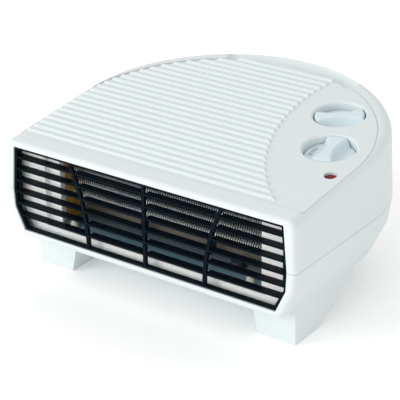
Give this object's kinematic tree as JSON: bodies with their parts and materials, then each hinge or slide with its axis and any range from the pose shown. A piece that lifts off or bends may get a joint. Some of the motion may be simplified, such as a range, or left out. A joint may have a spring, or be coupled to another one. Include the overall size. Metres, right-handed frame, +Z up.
{
  "type": "fan heater",
  "caption": "Flat floor-standing fan heater with a ribbed rising top, rounded back, slatted front outlet, feet and two turning knobs.",
  "frame": {"origin": "on the floor, below the middle of the housing", "axes": "+X to the right seen from the front, +Y to the back, +Z up"},
  "size_m": [0.26, 0.22, 0.1282],
  "materials": {
    "housing": "satin off-white moulding",
    "grille": "matte black moulding",
    "knob": "satin off-white moulding",
    "control_case": "dark thermoset",
    "spindle": "turned steel",
    "lens": "clear red",
    "lamp": "clear glass",
    "duct": "matte white heat-resistant moulding",
    "fan_wheel": "matte dark grey",
    "laminations": "stacked steel sheet",
    "winding": "enamelled copper wire",
    "bracket": "zinc-plated steel",
    "bush": "sintered bronze",
    "screw": "zinc-plated steel",
    "mica": "pressed mica sheet",
    "support": "dark mica sheet",
    "heating_wire": "oxidised resistance wire",
    "tray": "dark coated sheet",
    "ceramic": "glazed ceramic",
    "cutout": "plain aluminium can",
    "inlet": "matte off-white moulding",
    "block": "pale moulding"
  },
  "bodies": {
    "housing": {"upper_shell": "housing", "lower_shell": "housing", "outlet_grille": "grille", "switch_body": "control_case", "thermostat_body": "control_case", "indicator_lens": "lens", "neon_lamp": "lamp", "fan_duct": "duct", "duct_cover": "duct", "stator_core": "laminations", "motor_winding": "winding", "upper_bearing_bracket": "bracket", "lower_bearing_bracket": "bracket", "bearing_bushes": "bush", "case_screws": "screw", "motor_screws": "screw", "left_end_plate": "mica", "right_end_plate": "mica", "mica_supports": "support", "heating_coil_1": "heating_wire", "heating_coil_2": "heating_wire", "heating_coil_3": "heating_wire", "heating_coil_4": "heating_wire", "element_tray": "tray", "element_terminals": "ceramic", "thermal_cutout": "cutout", "cord_inlet": "inlet", "terminal_block": "block"},
    "switch": {"switch_knob": "knob", "switch_spindle": "spindle"},
    "thermostat": {"thermostat_knob": "knob", "thermostat_spindle": "spindle"},
    "fan": {"impeller": "fan_wheel", "motor_shaft": "spindle", "rotor": "laminations"}
  },
  "joints": [
    {"name": "switch_turn", "type": "hinge", "parent": "housing", "child": "switch", "pos_m": [0.0923, -0.00779, 0.11664], "axis": [0, -0.1045, 0.9945], "range_deg": [-180, 0]},
    {"name": "thermostat_turn", "type": "hinge", "parent": "housing", "child": "thermostat", "pos_m": [0.0716, 0.03972, 0.12163], "axis": [0, -0.1045, 0.9945], "range_deg": [-270, 0]},
    {"name": "fan_spin", "type": "hinge", "parent": "housing", "child": "fan", "pos_m": [-0.038, 0.005, 0.066], "axis": [0, 0, 1], "continuous": true}
  ]
}
